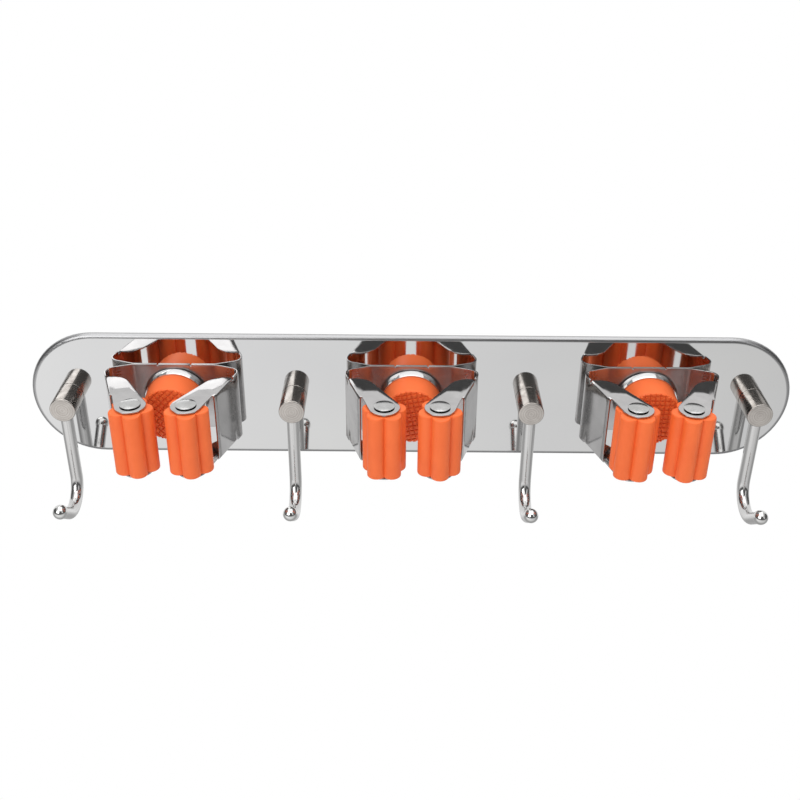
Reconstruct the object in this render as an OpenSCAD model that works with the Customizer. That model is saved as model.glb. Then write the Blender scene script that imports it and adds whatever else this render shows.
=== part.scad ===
// Wall mop holder rack: three spring clips with rubber rollers, and four hooks, on one steel plate.
// Millimetres. The origin is the middle of the face that meets the wall.
// +X runs along the rack, +Y goes into the wall and +Z is up.

/* [Wall plate] */
// Overall length of the plate
plate_w = 430; // [420:1:520]
// Height of the plate, and the diameter of its round ends
plate_h = 76; // [64:1:90]
// Depth of the plate with its turned-back edge
plate_edge = 2.8; // [2.6:0.1:5]
// Thickness of the plate's sheet
plate_sheet = 1.2; // [0.8:0.1:1.5]
// Rounding of the plate's front edge
plate_round = 2.4; // [0.3:0.1:2.6]

/* [Adhesive pad] */
// Gap between the pad and the turned-back edge
pad_gap = 0.3; // [0.2:0.1:2]
// How far the pad stands out behind the edge
pad_proud = 0.2; // [0.1:0.1:1]
// Width of the pad's pockets beyond the fastener heads in them
pad_pocket_extra = 1; // [0.5:0.1:3]

/* [Layout] */
// Distance from the plate's end to the middle of the outer clips
clip_end_inset = 82.3; // [76:0.1:88]
// Distance from the plate's end to the outer hooks
hook_end_inset = 21.9; // [14:0.1:26]

/* [Hooks] */
// Diameter of a post
post_d = 14.3; // [11:0.1:18]
// Length of a post
post_len = 18.2; // [17:0.1:24]
// Chamfer round a post's front face
post_chamfer = 0.4; // [0.2:0.1:1]
// Diameter of a hook's rod
rod_d = 7; // [4:0.1:7.2]
// Steel left in front of the rod in its post
rod_wall = 1.7; // [0.6:0.1:3]
// Drop from the post's axis to the start of the bend
hook_drop = 45.9; // [30:0.1:60]
// Bend radius on the rod's axis
hook_bend_r = 14; // [8:0.1:20]
// How far the hook's tip rises from level
tip_angle = 38; // [10:1:70]
// Straight run between the bend and the ball
tip_len = 13; // [4:0.1:25]
// Diameter of the ball end
ball_d = 8.2; // [7.4:0.1:12]
// Diameter of the spigot that holds the ball
spigot_d = 3; // [2:0.1:3.6]
// Length of the spigot
spigot_len = 3; // [1:0.1:4]
// Diameter of a post screw
screw_d = 4; // [3:0.1:5]
// Length of a post screw inside the post
screw_len = 8; // [4:0.1:9]

/* [Fastener heads behind the plate] */
// Diameter of the heads behind the plate
back_head_d = 7.5; // [6:0.1:10]
// Thickness of the heads behind the plate
back_head_h = 1.1; // [0.8:0.1:1.4]

/* [Clip strip] */
// Width of a clip over its corners
clip_w = 73.7; // [66:0.1:80]
// Height of the strip
strip_h = 40.4; // [40:0.1:60]
// Thickness of the strip
strip_t = 0.9; // [0.6:0.05:1.2]
// Width of the flat that lies on the plate
flat_w = 43; // [40:0.1:46]
// Outer radius of the bend between the flat and a wing
wing_bend_r = 10; // [6:0.1:14]
// How far the wings turn away from the plate
wing_angle = 20; // [14:1:26]
// Outer radius of the corner between a wing and its arm
corner_r = 5.6; // [4:0.1:7]
// Distance of the edge slits from the clip's middle
slit_x = 9.2; // [7:0.1:18]
// Width of an edge slit
slit_w = 0.8; // [0.5:0.1:2]
// Depth of an edge slit
slit_depth = 0.9; // [0.5:0.1:1.9]

/* [Clip ears] */
// Where an ear starts, measured along the arm from the corner
ear_start = 5.2; // [3:0.1:9]
// Radius of the ear's rear curve
ear_root_r = 12; // [8:0.1:13]
// Radius of the ear's round tip
ear_tip_r = 8.2; // [6:0.1:9]
// Outer radius of the bend between arm and ear
ear_bend_r = 1.5; // [1.3:0.1:3]
// Distance from the arm's outer face to the roller's axle
axle_inset = 9.3; // [8:0.1:12]
// Width of the relief notch behind an ear
relief_w = 1; // [0.5:0.1:2]
// Depth of the relief notch
relief_depth = 2; // [1.5:0.1:4]

/* [Rollers] */
// Diameter of a roller over its lobes
roller_d = 24; // [20:0.1:26]
// Gap between the two rollers of a clip
roller_gap = 5.2; // [4:0.1:10]
// Distance from the plate to the rollers' axles
roller_out = 46; // [42:0.1:55]
// Number of lobes on a roller
roller_lobes = 5; // [5:1:8]
// Radius of one lobe
lobe_r = 4.9; // [4.8:0.1:6.5]
// Chamfer at a roller's ends
roller_chamfer = 0.9; // [0.5:0.1:2]
// Gap between the arm's front edge and the roller
arm_clear = 2; // [1:0.1:4]
// Diameter of an axle
axle_d = 5; // [3:0.1:6]
// Diameter of an axle's rivet heads
axle_head_d = 11; // [8:0.1:14]
// Height of an axle's rivet heads
axle_head_h = 1.4; // [1:0.1:2.5]
// Height of the straight edge of those heads, below their low dome
axle_head_edge = 0.8; // [0.3:0.1:0.9]

/* [Bumper] */
// Diameter of a bumper
bumper_d = 32.5; // [28:0.1:34]
// Distance from the plate to the bumper's front face
bumper_out = 22.4; // [15:0.1:26]
// Rounding of the bumper's shoulder
bumper_round = 1; // [0.6:0.1:2.5]
// Radius of the waffle on the front face
waffle_r = 15.6; // [9:0.1:16]
// Distance between the waffle's grooves
waffle_pitch = 2.8; // [2:0.05:5]
// Width of a groove
groove_w = 0.9; // [0.4:0.1:1.5]
// Depth of a groove
groove_depth = 0.8; // [0.3:0.1:1.5]

/* [Bumper cup] */
// Thickness of the cup's sheet
cup_t = 0.8; // [0.5:0.1:1.2]
// Radius of the cup's flat floor
cup_floor_r = 8; // [6:0.1:12]
// Distance from the plate to the rim's widest edge
cup_rim_out = 2; // [1.4:0.1:4]
// Height of the rim, which leans in towards the bumper
cup_rim_h = 4; // [2:0.1:5]
// Width of the rim seen from the front
cup_rim_w = 2.3; // [1.6:0.1:4]
// Width of the flat edge at the rim's front
cup_lip_w = 0.7; // [0.3:0.1:1.2]
// Diameter of the rivet through cup, strip and plate
cup_rivet_d = 4; // [3:0.1:5]
// Diameter of that rivet's domed head
cup_head_d = 9; // [7:0.1:10]
// Height of that rivet's domed head
cup_head_h = 1.3; // [0.8:0.1:1.8]

/* [Clearances] */
// Around fixed pins, and between pieces that only rest on each other
seat_gap = 0.05; // [0.02:0.01:0.1]
// Between an axle and its roller
running_gap = 0.05; // [0.02:0.01:0.1]
// Between a roller's ends and the ears
roller_end_gap = 0.6; // [0.2:0.1:1.6]
// Between a wing and its arm, where the strip flexes
split_gap = 0.3; // [0.2:0.05:0.5]

/* [Hidden] */
$fn = 96;
steel = "silver";
bright_steel = "gainsboro";
orange = "coral";
foam = "dimgray";

// How the rollers and waffles happen to be turned, clip by clip: [left roller, right roller], waffle
roller_turns = [[16, -9], [36, -4], [24, 14]];
waffle_turns = [45, 12, 0];

// A straight run after a bend is a hair thinner than the bend and starts just inside it, so that the two join.
// A line that touches a round is drawn a hair inside it for the same reason.
hair = 0.01;
bend_lap = 0.3;

// Places on the plate
front_y = -(plate_edge + pad_proud);
clip_pitch = plate_w / 2 - clip_end_inset;
clip_x = [-clip_pitch, 0, clip_pitch];
outer_hook_x = plate_w / 2 - hook_end_inset;
hook_x = [-outer_hook_x, -clip_pitch / 2, clip_pitch / 2, outer_hook_x];

// Right half of the strip seen from above, as [distance from the clip's middle, distance from the plate]
flat_half = flat_w / 2;
wing_way = [cos(wing_angle), sin(wing_angle)];
wing_start = [flat_half + wing_bend_r * wing_way.y, wing_bend_r * (1 - wing_way.x)];
wing_len = (clip_w / 2 - corner_r * (1 - wing_way.y) - wing_start.x) / wing_way.x;
wing_end = wing_start + wing_len * wing_way;
corner_c = wing_end + corner_r * [-wing_way.y, wing_way.x];
axle_place = [(roller_d + roller_gap) / 2, roller_out];

// The arm leans in just far enough to put the axle at its place.
axle_run = axle_place - corner_c;
axle_across = corner_r - axle_inset;
axle_swing = acos(axle_across / norm(axle_run));
arm_lean = atan2(axle_run.y, axle_run.x) - axle_swing;

// In the arm's own frame, x points out of the arm's outer face and y runs along the arm.
axle_along = norm(axle_run) * sin(axle_swing);
axle_c = [axle_across, axle_along];
arm_len = axle_along - roller_d / 2 - arm_clear;
ear_edge = corner_r - ear_bend_r;
ear_root_c = [corner_r, ear_start + ear_root_r];
ear_inner = tangent(ear_root_c, ear_root_r - hair, axle_c, ear_tip_r - hair, 1);
ear_outer = tangent([ear_edge, arm_len], 0, axle_c, ear_tip_r - hair, -1);

// Heights and radii of the pieces stacked on a clip's middle
roller_h = strip_h - 2 * strip_t - 2 * roller_end_gap;
cup_back = strip_t + seat_gap;
cup_floor = cup_back + cup_t;
cup_inner_r = bumper_d / 2 + seat_gap;
cup_r = cup_inner_r + cup_rim_w;
cup_slope = (cup_rim_out - cup_back) / (cup_r - cup_floor_r);
bumper_back = cup_floor + seat_gap;
bumper_seat = bumper_back + (bumper_d / 2 - cup_floor_r) * cup_slope;

// The rod's straight run in its post
rod_out = post_len - rod_wall - rod_d / 2;
rod_top = post_d / 4;

HOOKS = [1:4];
CLIPS = [1:3];
SIDES = ["left", "right"];

// Ends of the line that touches two circles on the same side
function tangent(c1, r1, c2, r2, side) =
    let (d = c2 - c1,
         turn = atan2(d.y, d.x) + side * acos((r1 - r2) / norm(d)),
         out = [cos(turn), sin(turn)])
    [c1 + r1 * out, c2 + r2 * out];

// Puts children on the plate's front face: local z points out of the plate, y is up
module on_plate(x) {
    translate([x, front_y, 0]) rotate([90, 0, 0]) children();
}

// Puts children on the plate as seen from above: local y points out of the plate
module from_above(x, side = "right") {
    translate([x, front_y, 0]) rotate([180, 0, 0])
        if (side == "left") mirror([1, 0, 0]) children();
        else children();
}

// Puts children on the plate as seen from the end of the rack: local x points out of the plate, y is up
module from_the_end(x) {
    translate([x, front_y, 0]) rotate([90, 0, -90]) children();
}

// Puts children in the right arm's own frame
module along_arm() {
    translate(corner_c) rotate(arm_lean) children();
}

// Part of a bent sheet between two angles, in degrees
module bent_sheet(outer_r, from, to) {
    reach = 2 * outer_r;
    middle = (from + to) / 2;
    intersection() {
        difference() {
            circle(outer_r);
            circle(outer_r - strip_t);
        }
        polygon([[0, 0], for (a = [from, middle, to]) reach * [cos(a), sin(a)]]);
    }
}

// Low dome with a flat base at z = 0
module dome(d, h) {
    dome_r = (d * d / 4 + h * h) / (2 * h);
    rotate_extrude() intersection() {
        translate([0, h - dome_r]) circle(dome_r);
        square([d / 2, h]);
    }
}

// Slab with round ends, whose edge at the top is rounded
module round_ended_slab(length, height, depth, edge_r) {
    half = height / 2;
    module edge_section() {
        square([half - edge_r, depth]);
        square([half, depth - edge_r]);
        translate([half - edge_r, depth - edge_r]) intersection() {
            circle(edge_r);
            square(edge_r);
        }
    }
    run = length - height;
    for (end = [-1, 1])
        translate([end * run / 2, 0, 0])
            rotate(end == 1 ? -90 : 90) rotate_extrude(angle = 180) edge_section();
    for (flip = [0, 1])
        mirror([0, flip, 0]) rotate([90, 0, 90]) linear_extrude(run, center = true) edge_section();
}

module stadium(length, height) {
    square([length - height, height], center = true);
    for (end = [-1, 1])
        translate([end * (length - height) / 2, 0]) circle(d = height);
}

module wall_plate() {
    color(bright_steel) difference() {
        on_plate(0) translate([0, 0, -plate_edge])
            round_ended_slab(plate_w, plate_h, plate_edge, plate_round);
        on_plate(0) translate([0, 0, -2 * plate_edge])
            linear_extrude(2 * plate_edge - plate_sheet)
                stadium(plate_w - 2 * plate_sheet, plate_h - 2 * plate_sheet);
        for (x = hook_x) fastener_hole(x, screw_d);
        for (x = clip_x) fastener_hole(x, cup_rivet_d);
    }
}

// Hole through the plate's sheet for a screw or rivet
module fastener_hole(x, d) {
    on_plate(x) translate([0, 0, -plate_edge])
        cylinder(h = 2 * plate_edge, d = d + 2 * seat_gap);
}

module adhesive_pad() {
    pad_inset = 2 * (plate_sheet + pad_gap);
    color(foam) on_plate(0) difference() {
        translate([0, 0, front_y]) linear_extrude(-front_y - plate_sheet)
            stadium(plate_w - pad_inset, plate_h - pad_inset);
        for (x = concat(hook_x, clip_x))
            translate([x, 0, -plate_sheet - back_head_h - seat_gap])
                cylinder(h = plate_edge, d = back_head_d + pad_pocket_extra);
    }
}

// Flat head behind the plate, with a shank that comes out of the plate's front
module back_fastener(shank_d, shank_len) {
    translate([0, 0, -plate_sheet - back_head_h]) cylinder(h = back_head_h, d = back_head_d);
    translate([0, 0, -plate_sheet]) cylinder(h = plate_sheet + shank_len, d = shank_d);
}

module post_screws() {
    color(steel) for (x = hook_x)
        on_plate(x) back_fastener(screw_d, screw_len);
}

module cup_rivets() {
    color(steel) for (x = clip_x) on_plate(x) {
        back_fastener(cup_rivet_d, cup_floor);
        translate([0, 0, cup_floor]) dome(cup_head_d, cup_head_h);
    }
}

module hook_post(i) {
    r = post_d / 2;
    color(steel) difference() {
        on_plate(hook_x[i]) rotate_extrude()
            polygon([[0, 0], [r, 0], [r, post_len - post_chamfer], [r - post_chamfer, post_len], [0, post_len]]);
        on_plate(hook_x[i]) translate([0, 0, -1])
            cylinder(h = 1 + screw_len + seat_gap, d = screw_d + 2 * seat_gap);
        from_the_end(hook_x[i]) translate([rod_out, rod_top + seat_gap, 0])
            rotate([90, 0, 0]) cylinder(h = post_d, d = rod_d + 2 * seat_gap);
    }
}

// Puts children at the end of the hook's bend: local z runs along the tip
module at_tip(x) {
    from_the_end(x) translate([rod_out + hook_bend_r, -hook_drop, 0])
        rotate(270 + tip_angle) translate([hook_bend_r, 0, 0]) rotate([-90, 0, 0]) children();
}

module hook_rod(i) {
    color(steel) {
        from_the_end(hook_x[i]) {
            translate([rod_out, rod_top, 0]) rotate([90, 0, 0]) cylinder(h = rod_top + hook_drop, d = rod_d);
            translate([rod_out + hook_bend_r, -hook_drop, 0])
                rotate(180) rotate_extrude(angle = 90 + tip_angle) translate([hook_bend_r, 0]) circle(d = rod_d);
        }
        at_tip(hook_x[i]) {
            translate([0, 0, -bend_lap]) cylinder(h = bend_lap + tip_len, d = rod_d - 2 * hair);
            translate([0, 0, tip_len]) cylinder(h = spigot_len, d = spigot_d);
        }
    }
}

module hook_ball(i) {
    // The ball is cut flat where its section is as wide as the rod.
    flat_at = sqrt(ball_d * ball_d - rod_d * rod_d) / 2;
    color(bright_steel) at_tip(hook_x[i]) translate([0, 0, tip_len]) difference() {
        translate([0, 0, flat_at]) sphere(d = ball_d);
        translate([-ball_d, -ball_d, -ball_d]) cube([2 * ball_d, 2 * ball_d, ball_d]);
        cylinder(h = spigot_len + seat_gap, d = spigot_d + 2 * seat_gap);
    }
}

module clip_back(i) {
    color(steel) difference() {
        for (side = SIDES) from_above(clip_x[i], side) linear_extrude(strip_h, center = true) {
            square([flat_half, strip_t]);
            translate([flat_half, wing_bend_r]) bent_sheet(wing_bend_r, -90, -90 + wing_angle);
            translate(wing_start) rotate(wing_angle) translate([-bend_lap, hair])
                square([bend_lap + wing_len - split_gap / 2, strip_t - 2 * hair]);
        }
        on_plate(clip_x[i]) translate([0, 0, -strip_t]) cylinder(h = 3 * strip_t, d = cup_rivet_d + 2 * seat_gap);
        for (x = [-slit_x, slit_x], z = [-strip_h / 2, strip_h / 2])
            on_plate(clip_x[i]) translate([x, z, 0]) cube([slit_w, 2 * slit_depth, 4 * strip_t], center = true);
    }
}

// Cross-section of the arm where the ears bend off it
module arm_section() {
    bend_z = strip_h / 2 - ear_bend_r;
    translate([corner_r - strip_t, -bend_z]) square([strip_t, 2 * bend_z]);
    translate([ear_edge, bend_z]) bent_sheet(ear_bend_r, 0, 90);
    translate([ear_edge, -bend_z]) bent_sheet(ear_bend_r, -90, 0);
}

module ear_outline() {
    difference() {
        union() {
            intersection() {
                translate(ear_root_c) circle(ear_root_r);
                translate([ear_edge - 2 * ear_root_r, 0]) square([2 * ear_root_r, ear_root_c.y]);
            }
            polygon([[ear_edge, ear_root_c.y], ear_inner[0], ear_inner[1], axle_c, ear_outer[1], ear_outer[0]]);
            polygon([[ear_edge, ear_root_c.y], ear_root_c - [ear_root_r, 0] / 2, ear_inner[0]]);
            translate(axle_c) circle(ear_tip_r);
        }
        translate(axle_c) circle(d = axle_d + 2 * seat_gap);
    }
}

module clip_arm(i, side) {
    split_turn = split_gap / 2 / corner_r * 180 / PI;
    wall_in = corner_r - strip_t;
    color(steel) from_above(clip_x[i], side) along_arm() {
        linear_extrude(strip_h, center = true) {
            bent_sheet(corner_r, -90 + wing_angle - arm_lean + split_turn, 0);
            translate([wall_in, 0]) square([strip_t, ear_start - relief_w]);
        }
        linear_extrude(strip_h - 2 * relief_depth, center = true)
            translate([wall_in, 0]) square([strip_t, ear_start]);
        translate([0, arm_len, 0])
            rotate([90, 0, 0]) linear_extrude(arm_len - ear_start) arm_section();
        for (z = [-strip_h / 2, strip_h / 2 - strip_t])
            translate([0, 0, z]) linear_extrude(strip_t) ear_outline();
    }
}

module roller_axle(i, side) {
    color(bright_steel) from_above(clip_x[i], side) translate(axle_place) {
        cylinder(h = strip_h, d = axle_d, center = true);
        for (flip = [0, 1]) mirror([0, 0, flip]) translate([0, 0, strip_h / 2]) {
            cylinder(h = axle_head_edge, d = axle_head_d);
            translate([0, 0, axle_head_edge]) dome(axle_head_d, axle_head_h - axle_head_edge);
        }
    }
}

module roller(i, side) {
    turn = roller_turns[i][side == "left" ? 0 : 1];
    lobe_out = roller_d / 2 - lobe_r;
    end_r = roller_d / 2 - roller_chamfer;
    over = lobe_r / 8;
    color(orange) from_above(clip_x[i], side) translate(axle_place) rotate(turn + 90) intersection() {
        linear_extrude(roller_h, center = true) difference() {
            union() {
                circle(lobe_out);
                for (n = [1:roller_lobes]) rotate(n * 360 / roller_lobes) translate([lobe_out, 0]) circle(lobe_r);
            }
            circle(d = axle_d + 2 * running_gap);
        }
        rotate_extrude() polygon([
            [0, -roller_h / 2], [end_r, -roller_h / 2],
            [end_r + roller_chamfer + over, -roller_h / 2 + roller_chamfer + over],
            [end_r + roller_chamfer + over, roller_h / 2 - roller_chamfer - over],
            [end_r, roller_h / 2], [0, roller_h / 2]
        ]);
    }
}

module bumper_cup(i) {
    hole_r = cup_rivet_d / 2 + seat_gap;
    rim_front = cup_rim_out + cup_rim_h;
    wall_foot = cup_floor + (cup_inner_r - cup_floor_r) * cup_slope;
    color(bright_steel) on_plate(clip_x[i]) rotate_extrude() polygon([
        [hole_r, cup_back], [cup_floor_r, cup_back], [cup_r, cup_rim_out],
        [cup_inner_r + cup_lip_w, rim_front], [cup_inner_r, rim_front], [cup_inner_r, wall_foot],
        [cup_floor_r, cup_floor], [hole_r, cup_floor]
    ]);
}

module bumper(i) {
    r = bumper_d / 2;
    pocket_r = cup_head_d / 2 + seat_gap;
    pocket_top = cup_floor + cup_head_h + seat_gap;
    count = floor(waffle_r / waffle_pitch);
    color(orange) on_plate(clip_x[i]) difference() {
        rotate_extrude() {
            polygon([
                [0, pocket_top], [pocket_r, pocket_top], [pocket_r, bumper_back], [cup_floor_r, bumper_back],
                [r, bumper_seat], [r, bumper_out - bumper_round],
                [r - bumper_round, bumper_out - bumper_round], [r - bumper_round, bumper_out], [0, bumper_out]
            ]);
            translate([r - bumper_round, bumper_out - bumper_round]) intersection() {
                circle(bumper_round);
                square(bumper_round);
            }
        }
        intersection() {
            translate([0, 0, bumper_out - groove_depth]) cylinder(h = 2 * groove_depth, r = waffle_r);
            rotate(waffle_turns[i]) for (n = [-count:count], turn = [0, 90])
                rotate(turn) translate([n * waffle_pitch, 0, bumper_out])
                    cube([groove_w, 2 * bumper_d, 2 * groove_depth], center = true);
        }
    }
}

wall_plate();
adhesive_pad();
post_screws();
cup_rivets();
for (i = HOOKS) {
    hook_post(i - 1);
    hook_rod(i - 1);
    hook_ball(i - 1);
}
for (i = CLIPS) {
    clip_back(i - 1);
    bumper_cup(i - 1);
    bumper(i - 1);
    for (side = SIDES) {
        clip_arm(i - 1, side);
        roller_axle(i - 1, side);
        roller(i - 1, side);
    }
}
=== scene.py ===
import math

import bmesh
import bpy
from mathutils import Matrix, Vector


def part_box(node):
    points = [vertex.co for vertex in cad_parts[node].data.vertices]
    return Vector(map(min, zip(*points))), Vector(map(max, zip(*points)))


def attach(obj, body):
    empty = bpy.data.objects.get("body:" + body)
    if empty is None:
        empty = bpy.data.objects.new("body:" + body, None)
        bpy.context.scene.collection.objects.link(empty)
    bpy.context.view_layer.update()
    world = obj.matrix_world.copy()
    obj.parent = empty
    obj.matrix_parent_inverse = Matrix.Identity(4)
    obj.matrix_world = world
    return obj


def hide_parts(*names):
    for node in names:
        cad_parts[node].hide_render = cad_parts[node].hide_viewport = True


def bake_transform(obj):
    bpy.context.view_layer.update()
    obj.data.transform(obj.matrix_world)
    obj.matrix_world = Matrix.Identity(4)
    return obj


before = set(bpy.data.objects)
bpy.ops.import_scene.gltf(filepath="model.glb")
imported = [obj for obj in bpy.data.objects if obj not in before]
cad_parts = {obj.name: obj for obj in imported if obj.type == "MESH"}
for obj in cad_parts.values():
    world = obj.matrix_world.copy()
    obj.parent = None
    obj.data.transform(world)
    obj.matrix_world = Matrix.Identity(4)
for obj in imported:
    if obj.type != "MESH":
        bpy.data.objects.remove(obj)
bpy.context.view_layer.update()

MM = 0.001
HOOKS = (1, 2, 3, 4)
CLIPS = (1, 2, 3)
SIDES = {"left": -1, "right": 1}


def size_of(node):
    """Width, depth and height of a CAD node."""
    low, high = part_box(node)
    return high - low


def middle_of(node):
    """Middle of a CAD node's box."""
    low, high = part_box(node)
    return (low + high) / 2


# Places and sizes that the CAD nodes give
FRONT_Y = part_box("wall_plate")[0].y
PLATE_HALF_W = size_of("wall_plate").x / 2
PLATE_HALF_H = size_of("wall_plate").z / 2
HOOK_X = {i: middle_of(f"hook_post_{i}").x for i in HOOKS}
CLIP_X = {i: middle_of(f"bumper_{i}").x for i in CLIPS}
POST_R = size_of("hook_post_1").x / 2
POST_LEN = size_of("hook_post_1").y
ROD_R = size_of("hook_rod_1").x / 2
ROD_OUT = FRONT_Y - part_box("hook_rod_1")[1].y + ROD_R
ROD_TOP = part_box("hook_rod_1")[1].z
BALL_R = size_of("hook_ball_1").x / 2
STRIP_H = size_of("clip_back_1").z
CLIP_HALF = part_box("clip_arm_1_right")[1].x - CLIP_X[1]
BUMPER_R = size_of("bumper_1").x / 2
BUMPER_OUT = FRONT_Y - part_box("bumper_1")[0].y
CUP_R = size_of("bumper_cup_1").x / 2
CUP_OUT = FRONT_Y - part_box("bumper_cup_1")[0].y
CUP_BACK = FRONT_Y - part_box("bumper_cup_1")[1].y
ROLLER_H = size_of("roller_1_left").z
AXLE_X = middle_of("roller_axle_1_right").x - CLIP_X[1]
AXLE_OUT = FRONT_Y - middle_of("roller_axle_1_right").y
AXLE_HEAD_R = size_of("roller_axle_1_right").x / 2
AXLE_HEAD_H = (size_of("roller_axle_1_right").z - STRIP_H) / 2

# Plate edge: satin, with a darker colour that is painted shade
PLATE_ROUND = 2.4 * MM
PLATE_EDGE_ROUGHNESS = 0.26
PLATE_EDGE_SHADE_TONE = (0.39, 0.39, 0.395)

# Where a finish changes along a piece, and how much of it a post's end takes
FINISH_BLEND = 0.3 * MM
STRIP_HAZE_START = 24 * MM
STRIP_HAZE_END = 40 * MM
POST_END_SHARE = 0.75

# Angles, in degrees, past which a mesh edge stays sharp or is rounded off
SHARP_ANGLE = 35
PAD_SHARP_ANGLE = 50
ROUNDED_ANGLE = 40

# Hooks
BEND_R = 14 * MM
TIP_RISE = math.radians(38)
BEND_TURN = math.pi / 2 + TIP_RISE
TIP_LEN = 13 * MM
HOOK_DROP = -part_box("hook_rod_1")[0].z - BEND_R - ROD_R
POST_EDGE = 0.5 * MM
POST_FOOT = 0.35 * MM

# Clip strips, as part.scad lays them out
STRIP_T = 0.9 * MM
SEAM_X = 5 * MM
SEAM_REACH = 0.01 * MM
FLAT_HALF = 21.5 * MM
WING_BEND_R = 10 * MM
WING_TURN = math.radians(20)
CORNER_R = 5.6 * MM
SLIT_X = 9.2 * MM
SLIT_W = 0.8 * MM
SLIT_DEPTH = 0.9 * MM
EAR_START = 5.2 * MM
EAR_ROOT_R = 12 * MM
EAR_TIP_R = 8.2 * MM
EAR_BEND_R = 1.5 * MM
AXLE_INSET = 9.3 * MM
AXLE_R = 2.5 * MM
RELIEF_W = 1 * MM
RELIEF_DEPTH = 2 * MM
ARM_CLEAR = 2 * MM
STRIP_EDGE = 0.2 * MM
RIVET_HOLE_R = 2.05 * MM

# Rollers, rivet heads, bumpers and cups, with the turns of rollers and waffles in degrees
ROLLER_R = 12 * MM
LOBES = 5
LOBE_R = 4.9 * MM
ROLLER_ROUND = 0.9 * MM
ROLLER_BORE_R = 2.55 * MM
ROLLER_TURNS = {
    1: {"left": 16, "right": -9},
    2: {"left": 36, "right": -4},
    3: {"left": 24, "right": 14},
}
HEAD_EDGE_H = 0.8 * MM
HEAD_EDGE_ROUND = 0.1 * MM
HEAD_NECK_H = 0.68 * MM
HEAD_NECK_R = 3.4 * MM
BUMPER_ROUND = 0.8 * MM
BUMPER_PAD_H = 0.7 * MM
WAFFLE_R = 15.9 * MM
WAFFLE_PITCH = 2.8 * MM
WAFFLE_PAD_W = 2.3 * MM
WAFFLE_PAD_TOP = 2.0 * MM
WAFFLE_PAD_ROUND = 0.16 * MM
WAFFLE_TURNS = {1: 45, 2: 12, 3: 0}
CUP_T = 0.8 * MM
CUP_FLOOR_R = 8 * MM
CUP_RIM_OUT = 2 * MM
CUP_LIP_W = 0.7 * MM
CUP_RIM_TRIM = 0.45 * MM
CUP_RIM_EDGE = 0.25 * MM
CUP_RIM_BULGE = 0.15 * MM
SEAT_GAP = 0.05 * MM
CUP_SLOPE = (CUP_RIM_OUT - CUP_BACK) / (CUP_R - CUP_FLOOR_R)


class Graph:
    """Adds nodes to a tree, with each input given as a value or as another node's output."""

    def __init__(self, tree):
        self.tree = tree

    def add(self, kind, inputs=None, **settings):
        """A new node with its settings and inputs."""
        node = self.tree.nodes.new(kind)
        for name, value in settings.items():
            setattr(node, name, value)
        for key, value in (inputs or {}).items():
            self.feed(node.inputs[key], value)
        return node

    def feed(self, socket, value):
        if isinstance(value, bpy.types.NodeSocket):
            self.tree.links.new(value, socket)
        else:
            socket.default_value = value

    def math(self, operation, *values):
        node = self.add("ShaderNodeMath", dict(enumerate(values)), operation=operation)
        return node.outputs[0]

    def spread(self, value, low, high, start=0.3, end=0.7):
        """Maps a value from start..end, by default the usual span of noise, to low..high."""
        inputs = {"Value": value, "From Min": start, "From Max": end, "To Min": low, "To Max": high}
        return self.add("ShaderNodeMapRange", inputs).outputs["Result"]

    def noise(self, vector, scale, detail=3.0, stretch=(1, 1, 1)):
        """Noise on a vector that is first stretched along its axes."""
        mapped = self.add("ShaderNodeMapping", {"Vector": vector, "Scale": stretch})
        inputs = {"Vector": mapped.outputs["Vector"], "Scale": scale, "Detail": detail}
        return self.add("ShaderNodeTexNoise", inputs).outputs["Fac"]

    def between(self, fac, first, second):
        """A number between two others."""
        return self.add("ShaderNodeMix", {0: fac, 2: first, 3: second}, data_type="FLOAT").outputs[0]

    def two_tone(self, fac, first, second):
        """A colour between two others, each given as a colour or as another node's output."""
        first, second = [c if isinstance(c, bpy.types.NodeSocket) else (*c, 1) for c in (first, second)]
        return self.add("ShaderNodeMix", {"Factor": fac, 6: first, 7: second}, data_type="RGBA").outputs[2]


# Finishes


def new_finish(name, metallic=0.0):
    """A material with its graph, its Principled shader and the place that its patterns follow."""
    finish = bpy.data.materials.new(name)
    finish.use_nodes = True
    shader = finish.node_tree.nodes["Principled BSDF"]
    shader.inputs["Metallic"].default_value = metallic
    graph = Graph(finish.node_tree)
    return finish, graph, shader, graph.add("ShaderNodeTexCoord").outputs["Object"]


def add_bump(graph, shader, height, strength, distance):
    bump = graph.add("ShaderNodeBump", {"Height": height, "Strength": strength, "Distance": distance})
    graph.feed(shader.inputs["Normal"], bump.outputs["Normal"])


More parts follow.
